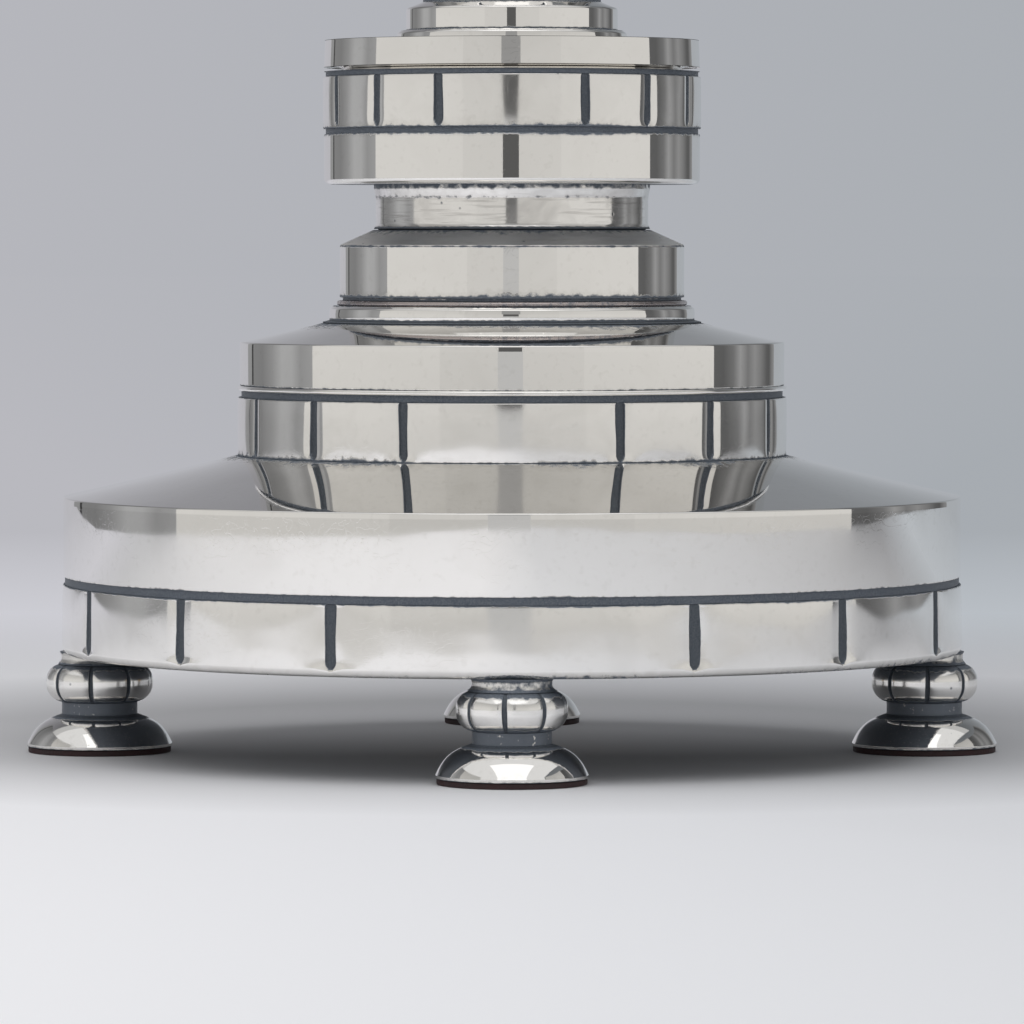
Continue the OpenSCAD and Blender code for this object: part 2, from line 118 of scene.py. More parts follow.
# Domes of the feet: height of the rim, even share of the fall and points of the curve
DOME_LIP = 0.5 * MM
DOME_EVEN = 0.45
DOME_STEPS = 16

SEGMENTS = 256
ARC_STEPS = 6


# ---------- places from the frame ----------

def low(node):
    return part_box(node)[0].z


def high(node):
    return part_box(node)[1].z


def radius(node):
    """Outer radius of a node that is turned about the candlestick's axis."""
    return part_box(node)[1].x


def middle(node):
    """Middle of a node, seen from above."""
    lowest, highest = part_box(node)
    return Vector(((lowest.x + highest.x) / 2, (lowest.y + highest.y) / 2))


def half_width(node):
    lowest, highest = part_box(node)
    return (highest.x - lowest.x) / 2


def extent(node, across=radius):
    """Outer radius, lowest and highest place of a node."""
    return across(node), low(node), high(node)


# ---------- outlines ----------

def graded(length, fine, step):
    """Distances along a stretch, close together at both of its ends."""
    side = []
    at, size = fine, fine
    while at < length / 2 - size and size < step:
        side.append(at)
        size *= 1.6
        at += size
    start = side[-1] if side else 0.0
    inner = length - 2 * start
    count = max(1, math.ceil(inner / step))
    between = [start + inner * k / count for k in range(1, count)]
    return side + between + [length - s for s in reversed(side)]


def rounded(corners, closed=True, fine=0.12 * MM, step=4 * MM, arc_steps=ARC_STEPS):
    """Points (r, z) and outward normals of an outline given as corners (r, z, rounding).

    The outline runs anticlockwise: up its outer side and down its inner side.
    """
    count = len(corners)
    places = [Vector(c[:2]) for c in corners]
    points, normals = [], []
    ends = []
    for i, (_, _, size) in enumerate(corners):
        here = places[i]
        if not closed and i in (0, count - 1):
            ends.append((here, here, None, 0.0, 0.0))
            continue
        into = (here - places[i - 1]).normalized()
        out = (places[(i + 1) % count] - here).normalized()
        turn = math.atan2(into.x * out.y - into.y * out.x, into.dot(out))
        trim = size * math.tan(abs(turn) / 2)
        start = here - into * trim
        side = math.copysign(1, turn)
        centre = start + Vector((-into.y, into.x)) * size * side
        ends.append((start, here + out * trim, centre, turn, size * side))
    for i in range(count if closed else count - 1):
        start, end, centre, turn, size = ends[i]
        following = ends[(i + 1) % count][0]
        run = following - end
        flat = Vector((run.y, -run.x)).normalized()
        if centre is None:
            points.append(end)
            normals.append(flat)
        elif size:
            arm = (start - centre) / size
            for k in range(arc_steps + 1):
                angle = turn * k / arc_steps
                cos, sin = math.cos(angle), math.sin(angle)
                way = Vector((arm.x * cos - arm.y * sin, arm.x * sin + arm.y * cos))
                points.append(centre + way * size)
                normals.append(way)
        for distance in graded(run.length, fine, step):
            points.append(end + run * distance / run.length)
            normals.append(flat)
    if not closed:
        points.append(places[-1])
        normals.append(normals[-1])
    return np.array([tuple(p) for p in points]), np.array([tuple(n) for n in normals])


def stain_at(points, stains):
    """Patina near the stains: each is (r, z, r, z) of a short line, its reach and its strength."""
    found = np.zeros(len(points))
    for r0, z0, r1, z1, reach, *strength in stains:
        start, run = np.array((r0, z0)), np.array((r1 - r0, z1 - z0))
        along = np.clip((points - start) @ run / max(run @ run, 1e-12), 0, 1)
        away = np.linalg.norm(points - start - along[:, None] * run, axis=1)
        found = np.maximum(found, (1 - away / reach) * (strength[0] if strength else 1))
    return np.clip(found, 0, DEEPEST)


def spot(r, z, reach, strength=1):
    """A stain around one place of an outline."""
    return r, z, r, z, reach, strength


# ---------- meshes ----------

def add_object(name, data):
    made = bpy.data.objects.new(name, data)
    bpy.context.scene.collection.objects.link(made)
    return made


def add_mesh(name, places, faces, **values):
    """A mesh object. Each value becomes an attribute of that name, one number per vertex."""
    mesh = bpy.data.meshes.new(name)
    mesh.from_pydata(places, [], faces)
    for key, numbers in values.items():
        mesh.attributes.new(key, "FLOAT", "POINT").data.foreach_set("value", numbers)
    return add_object(name, mesh)


def build(name, places, quads, patina, normals=None):
    """A smooth mesh object with the patina attribute, and exact normals if they're given."""
    piece = add_mesh(name, [tuple(p) for p in places], quads, patina=np.asarray(patina, np.float32))
    mesh = piece.data
    mesh.polygons.foreach_set("use_smooth", [True] * len(mesh.polygons))
    mesh.update()
    if normals is not None:
        mesh.normals_split_custom_set_from_vertices([tuple(n) for n in normals])
    return piece


def loops(rows, columns, closed):
    """Faces of a grid of rows around the axis, whose columns always meet."""
    faces = []
    for i in range(rows if closed else rows - 1):
        a, b = i * columns, (i + 1) % rows * columns
        for j in range(columns):
            k = (j + 1) % columns
            faces.append((a + j, a + k, b + k, b + j))
    return faces


def revolve(name, outline, stains=(), at=(0, 0), poles=False, segments=SEGMENTS, level=0.0):
    """A turned piece. With poles, the outline starts and ends on the axis."""
    points, normals = outline
    patina = np.maximum(stain_at(points, stains), level)
    if poles:
        caps = points[[0, -1]]
        points, normals, patina = points[1:-1], normals[1:-1], patina[1:-1]
    angles = np.arange(segments) * 2 * math.pi / segments
    cos, sin = np.cos(angles), np.sin(angles)
    rows = len(points)
    places = np.stack([
        at[0] + points[:, :1] * cos,
        at[1] + points[:, :1] * sin,
        np.repeat(points[:, 1:], segments, axis=1)], axis=2).reshape(-1, 3)
    ways = np.stack([
        normals[:, :1] * cos, normals[:, :1] * sin,
        np.repeat(normals[:, 1:], segments, axis=1)], axis=2).reshape(-1, 3)
    faces = loops(rows, segments, closed=not poles)
    shades = np.repeat(patina, segments)
    if poles:
        first, last = len(places), len(places) + 1
        places = np.vstack([places, [(at[0], at[1], z) for z in caps[:, 1]]])
        ways = np.vstack([ways, [(0, 0, -1), (0, 0, 1)]])
        if caps[0, 1] > caps[1, 1]:
            ways[-2:] = ways[-2:][::-1]
        shades = np.append(shades, patina[[0, -1]])
        end = (rows - 1) * segments
        for j in range(segments):
            k = (j + 1) % segments
            faces.append((first, k, j))
            faces.append((last, end + j, end + k))
    return build(name, places, faces, shades, ways)


def waves(seed, count, across, along):
    """Random gentle waves over angle and height, from about -1 to 1."""
    dice = random.Random(seed)
    terms = [(dice.randint(1, across), dice.uniform(-1, 1) * 2 * math.pi / along,
              dice.uniform(0, 2 * math.pi)) for _ in range(count)]

    def value(angle, z):
        total = sum(np.sin(turns * angle + pitch * z + phase) for turns, pitch, phase in terms)
        return total / math.sqrt(count)
    return value


class Groove:
    """One upright groove: a flat dark floor, steep walls and soft shoulders beside them."""

    def __init__(self, angle, width, seed, shoulder, reach):
        dice = random.Random(seed)
        self.angle = angle + math.radians(dice.uniform(-0.15, 0.15))
        self.width = width * dice.uniform(0.92, 1.06)
        self.shoulders = [shoulder * dice.uniform(0.7, 1.3) for _ in range(2)]
        self.reaches = [reach * dice.uniform(0.8, 1.25) for _ in range(2)]
        self.phase = dice.uniform(0, 2 * math.pi)

    def press(self, angle, z, face_r, taper):
        """Depth and darkness at each point; taper scales the width near the pointed end."""
        gap = (angle - self.angle + math.pi) % (2 * math.pi) - math.pi
        wander = 0.05 * MM * np.sin(z / (2.6 * MM) + self.phase)
        across = gap * face_r - wander
        half = self.width / 2 * (1 + 0.06 * np.sin(z / (1.7 * MM) - self.phase)) * taper
        right = across > 0
        shoulder = np.where(right, self.shoulders[0], self.shoulders[1])
        reach = np.where(right, self.reaches[0], self.reaches[1])
        away = np.abs(across)
        wall = np.clip((half - away) / (0.22 * self.width), 0, 1)
        wall = wall * wall * (3 - 2 * wall)
        slope = np.clip(1 - (away - half) / reach, 0, 1)
        soft = shoulder * np.minimum(slope, 1) ** 2
        fade = np.clip(taper * 2.5, 0, 1)
        depth = soft * (0.35 + 0.65 * fade) + (GROOVE_DEPTH - soft) * wall * fade
        dark = np.clip((half - away) / EDGE_BLUR + 0.5, 0, 1) * np.clip(taper * 4, 0, 1)
        return depth, dark, away - half


def groove_columns(grooves, face_r, step):
    """Angles of a grid's columns, close together across each groove."""
    shares = np.concatenate([np.linspace(0, 0.5, 4)[:-1], np.linspace(0.5, 1.15, 12),
                             (1.3, 1.5, 1.8, 2.2, 2.7, 3.3)])
    angles = []
    ordered = sorted(grooves, key=lambda g: g.angle)
    for i, groove in enumerate(ordered):
        following = ordered[(i + 1) % len(ordered)]
        gap = (following.angle - groove.angle) % (2 * math.pi)
        offsets = shares * groove.width / 2 / face_r
        offsets = offsets[offsets < gap * 0.45]
        count = max(1, math.ceil((gap - 2 * offsets[-1]) * face_r / step))
        between = offsets[-1] + (gap - 2 * offsets[-1]) * np.arange(1, count) / count
        stretch = np.concatenate([offsets, between, gap - offsets[:0:-1]])
        angles.append(groove.angle + stretch)
    return np.concatenate(angles)


def cushion(side, bottom, top, reach, drop):
    """How far a panel falls away towards its nearest side, bottom or top edge."""
    across = drop[0] * np.clip(1 - side / reach[0], 0, 1) ** 2
    along = drop[1] * np.clip(1 - np.minimum(bottom, top) / reach[1], 0, 1) ** 2
    return (across ** 4 + along ** 4) ** 0.25


def chased(name, outline, grooves, face_r, inner_r, taper, stains=(), at=(0, 0),
           step=1.2 * MM, dents=0.0, seed=0, reach=None, drop=(0, 0)):
    """A turned piece whose outer side has upright grooves pressed into it.

    With a reach, the panels between the grooves are cushioned by the drop.
    """
    points, _ = outline
    angles = groove_columns(grooves, face_r, step)
    angle, r = np.meshgrid(angles, points[:, 0])
    z = np.repeat(points[:, 1:], len(angles), axis=1)
    weight = np.clip((r - inner_r) / (face_r - inner_r), 0, 1)
    width = taper(z)
    depth = np.zeros_like(r)
    dark = np.zeros_like(r)
    side = np.full_like(r, face_r)
    for groove in grooves:
        pressed, darkened, away = groove.press(angle, z, face_r, width)
        depth = np.maximum(depth, pressed)
        dark = np.maximum(dark, darkened)
        side = np.minimum(side, np.maximum(away, 0))
    if reach:
        fall = cushion(side, z - points[:, 1].min(), points[:, 1].max() - z, reach, drop)
        depth = np.maximum(depth, np.minimum(depth + fall, GROOVE_DEPTH))
    depth += dents * (1 + waves(seed, 9, 40, 16 * MM)(angle, z)) / 2
    r = r - np.clip(depth, 0, None) * weight
    patina = np.maximum(dark * GROOVE_DARK * (weight > 0.1), stain_at(points, stains)[:, None])
    places = np.stack([at[0] + r * np.cos(angle), at[1] + r * np.sin(angle), z], axis=2)
    faces = loops(len(points), len(angles), closed=True)
    return build(name, places.reshape(-1, 3), faces, patina.reshape(-1))


# ---------- material nodes ----------

def node(tree, kind, inputs=None, **settings):
    """Adds a shader node. An input is a value or another node's output."""
    made = tree.nodes.new("ShaderNode" + kind)
    for key, value in settings.items():
        setattr(made, key, value)
    for key, value in (inputs or {}).items():
        if isinstance(value, bpy.types.NodeSocket):
            tree.links.new(value, made.inputs[key])
        else:
            made.inputs[key].default_value = value
    return made


def calc(tree, operation, first, second=0.0):
    return node(tree, "Math", {0: first, 1: second}, operation=operation).outputs[0]


def times(tree, first, second):
    return calc(tree, "MULTIPLY", first, second)


def noise(tree, vector, scale, detail=2.0, distortion=0.0):
    return node(tree, "TexNoise", {"Vector": vector, "Scale": scale, "Detail": detail,
                                   "Distortion": distortion}).outputs["Fac"]


def ramp(tree, value, start, end, out_start=0.0, out_end=1.0):
    return node(tree, "MapRange", {"Value": value, "From Min": start, "From Max": end,
                                   "To Min": out_start, "To Max": out_end}).outputs["Result"]


def blend_colour(tree, factor, first, second):
    made = node(tree, "Mix", {0: factor, 6: first, 7: second}, data_type="RGBA")
    return made.outputs[2]


def hairlines(tree, vector, scale, width, distortion):
    """Thin curved scratches, where a noise crosses its middle value."""
    field = noise(tree, vector, scale, 1.0, distortion)
    away = calc(tree, "ABSOLUTE", calc(tree, "SUBTRACT", field, 0.5))
    return ramp(tree, away, 0.0, width, 1.0, 0.0)


def new_material(name, kind="BsdfPrincipled"):
    """A material with one shader. Also gives its node tree and the shader."""
    material = bpy.data.materials.new(name)
    material.use_nodes = True
    tree = material.node_tree
    tree.nodes.clear()
    shader = node(tree, kind)
    output = node(tree, "OutputMaterial")
    tree.links.new(shader.outputs[0], output.inputs[0])
    return material, tree, shader


def place_on(tree):
    """The place of each point in the candlestick's own frame."""
    return node(tree, "TexCoord").outputs["Object"]


def link(tree, shader, **inputs):
    for key, value in inputs.items():
        tree.links.new(value, shader.inputs[key.replace("_", " ")])


SILVER = (0.955, 0.94, 0.915, 1)
FILM = (0.70, 0.68, 0.64, 1)
FILM_DULL = (0.42, 0.36, 0.35, 1)
NECK_FILM = (0.52, 0.50, 0.48, 1)
OXIDE = (0.105, 0.125, 0.155, 1)
OXIDE_LIGHT = (0.19, 0.21, 0.24, 1)
OXIDE_DEEP = (0.035, 0.04, 0.044, 1)


def silver(name, gloss=0.025, film=0.15, scratches=0.5, wave=0.5, pits=0.2, turned=0.0,
           film_tint=FILM, least=0.0):
    """Polished silver with oxide where the patina is high, and handling marks.

    Turned says how strong the fine lines around the piece are, and least is the tarnish
    that lies everywhere.
    """
    material, tree, shader = new_material(name)
    place = place_on(tree)
    patina = node(tree, "Attribute", attribute_name="patina").outputs["Fac"]

    # Oxide with broken edges, and a thin film of tarnish around it
    mottle = noise(tree, place, 800, 5.0)
    grain = noise(tree, place, 4200, 2.0)
    broken = calc(tree, "ADD", patina, ramp(tree, mottle, 0.0, 1.0, -0.45, 0.45))
    uneven = ramp(tree, noise(tree, place, 45, 1.0), 0.3, 0.7, -0.16, 0.16)
    broken = calc(tree, "ADD", broken, times(tree, uneven, ramp(tree, patina, 0.0, 0.2)))
    oxide = ramp(tree, broken, 0.40, 0.60)
    clouds = ramp(tree, noise(tree, place, 110, 4.0, 0.6), 0.48, 0.75, 0.0, film)
    halo = ramp(tree, broken, 0.05, 0.45, 0.0, 0.45)
    tarnish = calc(tree, "MAXIMUM", clouds, halo)
    if least:
        tarnish = calc(tree, "MAXIMUM", tarnish, least)
    if turned:
        rings = node(tree, "Mapping", {"Vector": place, "Scale": (1, 1, 16)}).outputs[0]
        ringed = ramp(tree, noise(tree, rings, 130, 4.0), 0.5, 0.68, 0.0, turned)
        tarnish = calc(tree, "MAXIMUM", tarnish, ringed)

    # Hairline scratches in two sizes, kept to some places, and pits
    where = ramp(tree, noise(tree, place, 60, 2.0), 0.42, 0.62)
    long_lines = hairlines(tree, place, 95, 0.0022, 1.5)
    short_lines = hairlines(tree, place, 420, 0.010, 0.8)
    lines = times(tree, calc(tree, "MAXIMUM", long_lines, short_lines), where)
    spots = node(tree, "TexVoronoi", {"Vector": place, "Scale": 520}, feature="F1")
    chosen = ramp(tree, spots.outputs["Color"], 1 - 0.22 * pits - 0.001, 1 - 0.22 * pits)
    round_pit = ramp(tree, spots.outputs["Distance"], 0.05, 0.16, 1.0, 0.0)
    pit = times(tree, chosen, round_pit)

    bright = blend_colour(tree, tarnish, SILVER, film_tint)
    bright = blend_colour(tree, times(tree, pit, 0.8), bright, OXIDE)
    dark = blend_colour(tree, ramp(tree, grain, 0.35, 0.75), OXIDE, OXIDE_LIGHT)
    dark = blend_colour(tree, ramp(tree, patina, 0.95, 1.3), dark, OXIDE_DEEP)
    colour = blend_colour(tree, oxide, bright, dark)
    metallic = ramp(tree, oxide, 0.0, 1.0, 1.0, 0.25)
    shader.inputs["Specular IOR Level"].default_value = 0.25
    polish = calc(tree, "ADD", ramp(tree, noise(tree, place, 35, 3.0), 0.3, 0.7, gloss, gloss * 2),
                  times(tree, tarnish, 0.10))
    polish = calc(tree, "ADD", polish, times(tree, lines, 0.16 * scratches))
    rough = node(tree, "Mix", {0: oxide, 2: polish, 3: 0.5}).outputs[0]

    # Hand-worked surface: long waves, then scratches, pits and grainy oxide on top
    swell = noise(tree, place, 55, 1.0)
    waved = node(tree, "Bump", {"Strength": 1.0, "Distance": 0.010 * MM * wave, "Height": swell})
    marks = calc(tree, "SUBTRACT", times(tree, times(tree, oxide, grain), 4.0),
                 calc(tree, "ADD", times(tree, lines, 0.25 * scratches), pit))
    marked = node(tree, "Bump", {"Strength": 0.6, "Distance": 0.02 * MM, "Height": marks,
                                 "Normal": waved.outputs[0]})
    link(tree, shader, Base_Color=colour, Metallic=metallic, Roughness=rough,
         Normal=marked.outputs[0])
    return material


def dark_silver(name):
    """Dark oxidised silver with spots rubbed bright; on the base plate and knop floor, painted shade."""
    material, tree, shader = new_material(name)
    place = place_on(tree)
    mottle = noise(tree, place, 700, 5.0)
    rubbed = ramp(tree, noise(tree, place, 1300, 3.0), 0.66, 0.72)
    colour = blend_colour(tree, mottle, OXIDE, OXIDE_LIGHT)
    colour = blend_colour(tree, rubbed, colour, FILM)
    rough = ramp(tree, mottle, 0.3, 0.7, 0.32, 0.55)
    bump = node(tree, "Bump", {"Strength": 0.5, "Distance": 0.03 * MM, "Height": mottle})
    link(tree, shader, Base_Color=colour, Roughness=rough, Normal=bump.outputs[0],
         Metallic=ramp(tree, rubbed, 0.0, 1.0, 0.45, 1.0))
    return material


def leather(name):
    """Thin dark leather with a fine grain."""
    material, tree, shader = new_material(name)
    place = place_on(tree)
    grain = node(tree, "TexVoronoi", {"Vector": place, "Scale": 1500}, feature="DISTANCE_TO_EDGE")
    crease = ramp(tree, grain.outputs["Distance"], 0.0, 0.12)
    wear = noise(tree, place, 300, 4.0)
    colour = blend_colour(tree, wear, (0.012, 0.006, 0.007, 1), (0.05, 0.018, 0.02, 1))
    rough = ramp(tree, wear, 0.3, 0.7, 0.55, 0.8)
    bump = node(tree, "Bump", {"Strength": 0.6, "Distance": 0.06 * MM, "Height": crease})
    link(tree, shader, Base_Color=colour, Roughness=rough, Normal=bump.outputs[0])
    return material


def brass(name):
    """Dull brass of the screws and nuts, with turning marks and dark spots."""
    material, tree, shader = new_material(name)
    place = place_on(tree)
    shader.inputs["Metallic"].default_value = 1.0
    stretched = node(tree, "Mapping", {"Vector": place, "Scale": (1, 1, 14)}).outputs[0]
    turning = noise(tree, stretched, 420, 3.0)
    spots = ramp(tree, noise(tree, place, 500, 4.0), 0.5, 0.72)
    colour = blend_colour(tree, spots, (0.72, 0.50, 0.22, 1), (0.24, 0.15, 0.07, 1))
    rough = ramp(tree, turning, 0.3, 0.7, 0.28, 0.5)
    bump = node(tree, "Bump", {"Strength": 0.4, "Distance": 0.03 * MM, "Height": turning})
    link(tree, shader, Base_Color=colour, Roughness=rough, Normal=bump.outputs[0])
    return material


# ---------- stage, lights and camera ----------

# Backdrop light: brighter on the left than on the right
BACKDROP_LEFT = (0.485, 0.485, 0.52)
BACKDROP_RIGHT = (0.385, 0.41, 0.44)
# Floor colour, painted lighter on the left and darker on the right as painted shade
FLOOR_LIT_LEFT = (0.895, 0.895, 0.92, 1)
FLOOR_SHADED_RIGHT = (0.75, 0.76, 0.79, 1)
CARD_TINT = (1.0, 0.985, 0.955)
GAP_TINT = (0.97, 0.98, 1.0)

# Ramps over a height, direction or distance: from, to, value at from and value at to
SKY_LOW = (0.07, 0.30, 1.0, 0.62)
SKY_HIGH = (0.30, 0.75, 1.0, 0.5)
FLOOR_FADE = (0.20, 0.42)
FLOOR_GLOW = (0.37, 0.85, 1.28, 1.0)
# Painted shadow: the floor's colour goes darker around the candlestick
FLOOR_PAINTED_SHADOW = (0.08, 0.18, 0.5, 1.0)
# Painted bounce light: the floor glows a little just behind the base
BOUNCE_BACK = (-0.01, 0.06, 0.022, 0.13)
BOUNCE_SPREAD = (0.055, 0.12, 1.0, 0.0)

FLOOR_RADIUS = 12.0
# Centre of the floor's painted shadow
FLOOR_PAINTED_SHADOW_AT = (0, -0.05, 0)
CARD_TOP = 0.72
CARD_FOOT = 0.05
CARD_BACK = 0.90
PANEL_HEIGHT = 0.75

# The mirrored camera and its stand: left, right, bottom, top and brightness
CAMERA_CARDS = {
    "camera_below": (-0.09, 0.07, 0, 0.083, 0.50),
    "camera_front": (-0.085, 0.065, 0.083, 0.20, 0.10),
    "camera_above": (-0.10, 0.08, 0.20, CARD_TOP, 0.30),
}

# Lights overhead: place, size and power
LIGHTS = {
    "panel": ((-0.20, -0.44, PANEL_HEIGHT), (1.5, 1.12), 7.6),
    "panel_back": ((-0.10, 0.26, PANEL_HEIGHT), (1.6, 0.28), 0.8),
}

# Paper overhead: left, right, front, back, height and brightness
CEILINGS = {
    "ceiling": (-0.95, 0.75, -1.0, 0.12, PANEL_HEIGHT, 0.70),
    "ceiling_back": (-0.95, 0.75, 0.12, 0.40, PANEL_HEIGHT, 0.48),
    "window": (-0.33, 0.33, -0.80, -0.22, PANEL_HEIGHT - 0.01, 1.1),
}

# Paper wall around the candlestick, seen only in its reflections. Each row gives the direction
# in degrees clockwise from the camera as seen from above, the distance and the brightness.
WALL = (
    (-147, 1.09, 0.30), (-141, 1.00, 0.28), (-140.6, 1.00, 0.05), (-139, 0.98, 0.05),
    (-138.6, 0.97, 0.22), (-128, 0.89, 0.21), (-119, 0.88, 0.28), (-111, 0.87, 0.40),
    (-104, 0.87, 0.39), (-98, 0.87, 0.29), (-90.6, 0.87, 0.33),
    (-90.4, 0.87, 0.655), (-60, 0.86, 0.655), (-29.6, 0.88, 0.64), (-29.3, 0.88, 0.60),
    (-5, 0.92, 0.595), (5, 0.92, 0.60), (29.3, 0.90, 0.61), (29.6, 0.90, 0.64),
    (60, 0.88, 0.655), (91.9, 0.90, 0.655),
    (92.1, 0.92, 0.115), (98, 0.93, 0.11), (105, 0.96, 0.17), (110, 0.98, 0.31),
    (116, 0.99, 0.19), (122, 1.01, 0.27), (128, 1.02, 0.20), (134, 1.04, 0.11),
    (137, 1.05, 0.10), (141, 1.06, 0.22), (146, 1.08, 0.30),
)


def glow(name, strength):
    """A plain surface that gives white light."""
    material, _, shader = new_material(name, "Emission")
    shader.inputs["Strength"].default_value = strength
    return material


def wall_glow():
    """Light of the paper wall: warm where bright, dimmer at its foot and towards its top."""
    material, tree, shader = new_material("paper", "Emission")
    level = node(tree, "Attribute", attribute_name="level").outputs["Fac"]
    height = node(tree, "SeparateXYZ", {0: place_on(tree)}).outputs["Z"]
    dimming = times(tree, ramp(tree, height, 0.0, CARD_FOOT, 0.86, 1.0),
                    ramp(tree, height, 0.15, CARD_TOP, 1.0, 0.6))
    tint = blend_colour(tree, ramp(tree, level, 0.4, 0.6), (*GAP_TINT, 1), (*CARD_TINT, 1))
    link(tree, shader, Color=tint, Strength=times(tree, level, dimming))
    return material


def only_mirrored(obj):
    """Shows an object in reflections and nowhere else."""
    obj.visible_camera = False
    obj.visible_diffuse = False
    obj.visible_shadow = False
    obj.visible_transmission = False


def paper_wall():
    """Curved upright paper that stands on the floor, with its brightness at each point."""
    places, levels = [], []
    for (start, near, low_level), (end, far, high_level) in zip(WALL, WALL[1:]):
        steps = max(1, math.ceil((end - start) / 3))
        for k in range(steps):
            share = k / steps
            a = math.radians(start + (end - start) * share)
            distance = near + (far - near) * share
            for z in (0.0, CARD_TOP):
                places.append((distance * math.sin(a), -distance * math.cos(a), z))
                levels.append(low_level + (high_level - low_level) * share)
    faces = [(k, k + 2, k + 3, k + 1) for k in range(0, len(places) - 2, 2)]
    made = add_mesh("paper_wall", places, faces, level=levels)
    made.data.materials.append(wall_glow())
    only_mirrored(made)
    made.visible_diffuse = True


def flat_card(name, corners, level):
    """A flat card seen only in reflections."""
    made = add_mesh(name, corners, [tuple(range(len(corners)))])
    made.data.materials.append(glow(name, level))
    only_mirrored(made)


def upright_card(name, left, right, bottom, top, level):
    """A flat card across the front, on the camera's side of the candlestick."""
    y = -CARD_BACK
    flat_card(name, [(left, y, bottom), (right, y, bottom), (right, y, top), (left, y, top)], level)


def backdrop_colour(tree, direction):
    """Left and right tones of the backdrop from a direction's sideways part."""
    side = node(tree, "SeparateXYZ", {0: direction}).outputs["X"]
    return blend_colour(tree, ramp(tree, side, -0.12, 0.12), (*BACKDROP_LEFT, 1), (*BACKDROP_RIGHT, 1))


def world():
    made = bpy.data.worlds.new("studio")
    bpy.context.scene.world = made
    made.use_nodes = True
    tree = made.node_tree
    tree.nodes.clear()
    direction = node(tree, "TexCoord").outputs["Generated"]
    up = node(tree, "SeparateXYZ", {0: direction}).outputs["Z"]
    colour = backdrop_colour(tree, direction)
    strength = times(tree, ramp(tree, up, *SKY_LOW), ramp(tree, up, *SKY_HIGH))
    light = node(tree, "Background", {"Color": colour, "Strength": strength})
    output = node(tree, "OutputWorld")
    tree.links.new(light.outputs[0], output.inputs[0])


def floor():
    """A pale floor that turns into the backdrop's tone.

    Under the candlestick its colour is darkened as a painted shadow, and it glows a little
    with painted bounce light thrown between it and the base. Its colour is also painted
    lighter on the left than on the right, as painted shade.
    """
    steps = 64
    places = [(FLOOR_RADIUS * math.cos(2 * math.pi * k / steps),
               FLOOR_RADIUS * math.sin(2 * math.pi * k / steps), 0) for k in range(steps)]
    made = add_mesh("floor", places, [tuple(range(steps))])
    material, tree, shader = new_material("floor")
    place = place_on(tree)
    shader.inputs["Roughness"].default_value = 0.9
    shader.inputs["Specular IOR Level"].default_value = 0.1
    far = node(tree, "SeparateXYZ", {0: place}).outputs["Y"]
    way = node(tree, "VectorMath", {0: place}, operation="NORMALIZE").outputs[0]
    light = node(tree, "Emission", {"Color": backdrop_colour(tree, way),
                                    "Strength": ramp(tree, far, *FLOOR_GLOW)})
    near = node(tree, "Mapping", {"Vector": place, "Location": FLOOR_PAINTED_SHADOW_AT,
                                  "Scale": (1.1, 1, 1)}).outputs[0]
    near = node(tree, "VectorMath", {0: near}, operation="LENGTH").outputs["Value"]
    side = node(tree, "SeparateXYZ", {0: place}).outputs["X"]
    # Painted shade: the floor's colour is lighter on the left than on the right
    tint = blend_colour(tree, ramp(tree, side, -0.08, 0.08), FLOOR_LIT_LEFT, FLOOR_SHADED_RIGHT)
    # Painted shadow: the floor's colour darkens near the candlestick
    shadowed = blend_colour(tree, ramp(tree, near, *FLOOR_PAINTED_SHADOW), (0, 0, 0, 1), tint)
    tree.links.new(shadowed, shader.inputs["Base Color"])
    # Painted bounce light: emission on the floor just behind the base
    around = node(tree, "VectorMath", {0: place}, operation="LENGTH").outputs["Value"]
    bounce = times(tree, ramp(tree, far, *BOUNCE_BACK), ramp(tree, around, *BOUNCE_SPREAD))
    link(tree, shader, Emission_Color=tint, Emission_Strength=bounce)
    mix = node(tree, "MixShader", {0: ramp(tree, far, *FLOOR_FADE), 1: shader.outputs[0],
                                   2: light.outputs[0]})
    output = next(n for n in tree.nodes if n.type == "OUTPUT_MATERIAL")
    tree.links.new(mix.outputs[0], output.inputs[0])
    made.data.materials.append(material)


def area_light(name, place, size, power):
    """A soft rectangular light that faces straight down. The ceiling is mirrored instead."""
    data = bpy.data.lights.new(name, "AREA")
    data.shape = "RECTANGLE"
    data.size, data.size_y = size
    data.energy = power
    made = add_object(name, data)
    made.location = place
    made.visible_camera = False
    made.visible_glossy = False


def ceiling(name, left, right, front, back, z, level):
    """Paper overhead, seen only in reflections."""
    flat_card(name, [(left, front, z), (right, front, z), (right, back, z), (left, back, z)], level)


def camera():
    data = bpy.data.cameras.new("camera")
    data.lens = LENS
    data.sensor_width = 36
    data.clip_start = 0.01
    made = add_object("camera", data)
    made.location = (0, -CAMERA_BACK, CAMERA_HEIGHT)
    made.rotation_euler = (math.radians(90 - CAMERA_DOWN_DEG), 0, 0)
    bpy.context.scene.camera = made


def stage():
    view = bpy.context.scene.view_settings
    view.view_transform = "Standard"
    view.look = "None"
    world()
    floor()
    paper_wall()
    for name, card in CAMERA_CARDS.items():
        upright_card(name, *card)
    for name, light in LIGHTS.items():
        area_light(name, *light)
    for name, paper in CEILINGS.items():
        ceiling(name, *paper)


# ---------- pieces ----------

def finish(piece, material, slot, *nodes, body=BODY):
    """Gives a piece its material and its body, and hides the CAD nodes that it stands for."""
    piece.data.materials.append(material)
    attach(piece, body)
    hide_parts(*nodes)


def turned(node_name, material, outline, stains=(), body=BODY, slot="silver", **shape):
    """A turned piece that stands for one CAD node."""
    piece = revolve(node_name + "_finish", outline, stains, **shape)
    finish(piece, material, slot, node_name, body=body)


def straight(z):
    """Grooves of one width from top to bottom."""
    return np.ones_like(z)


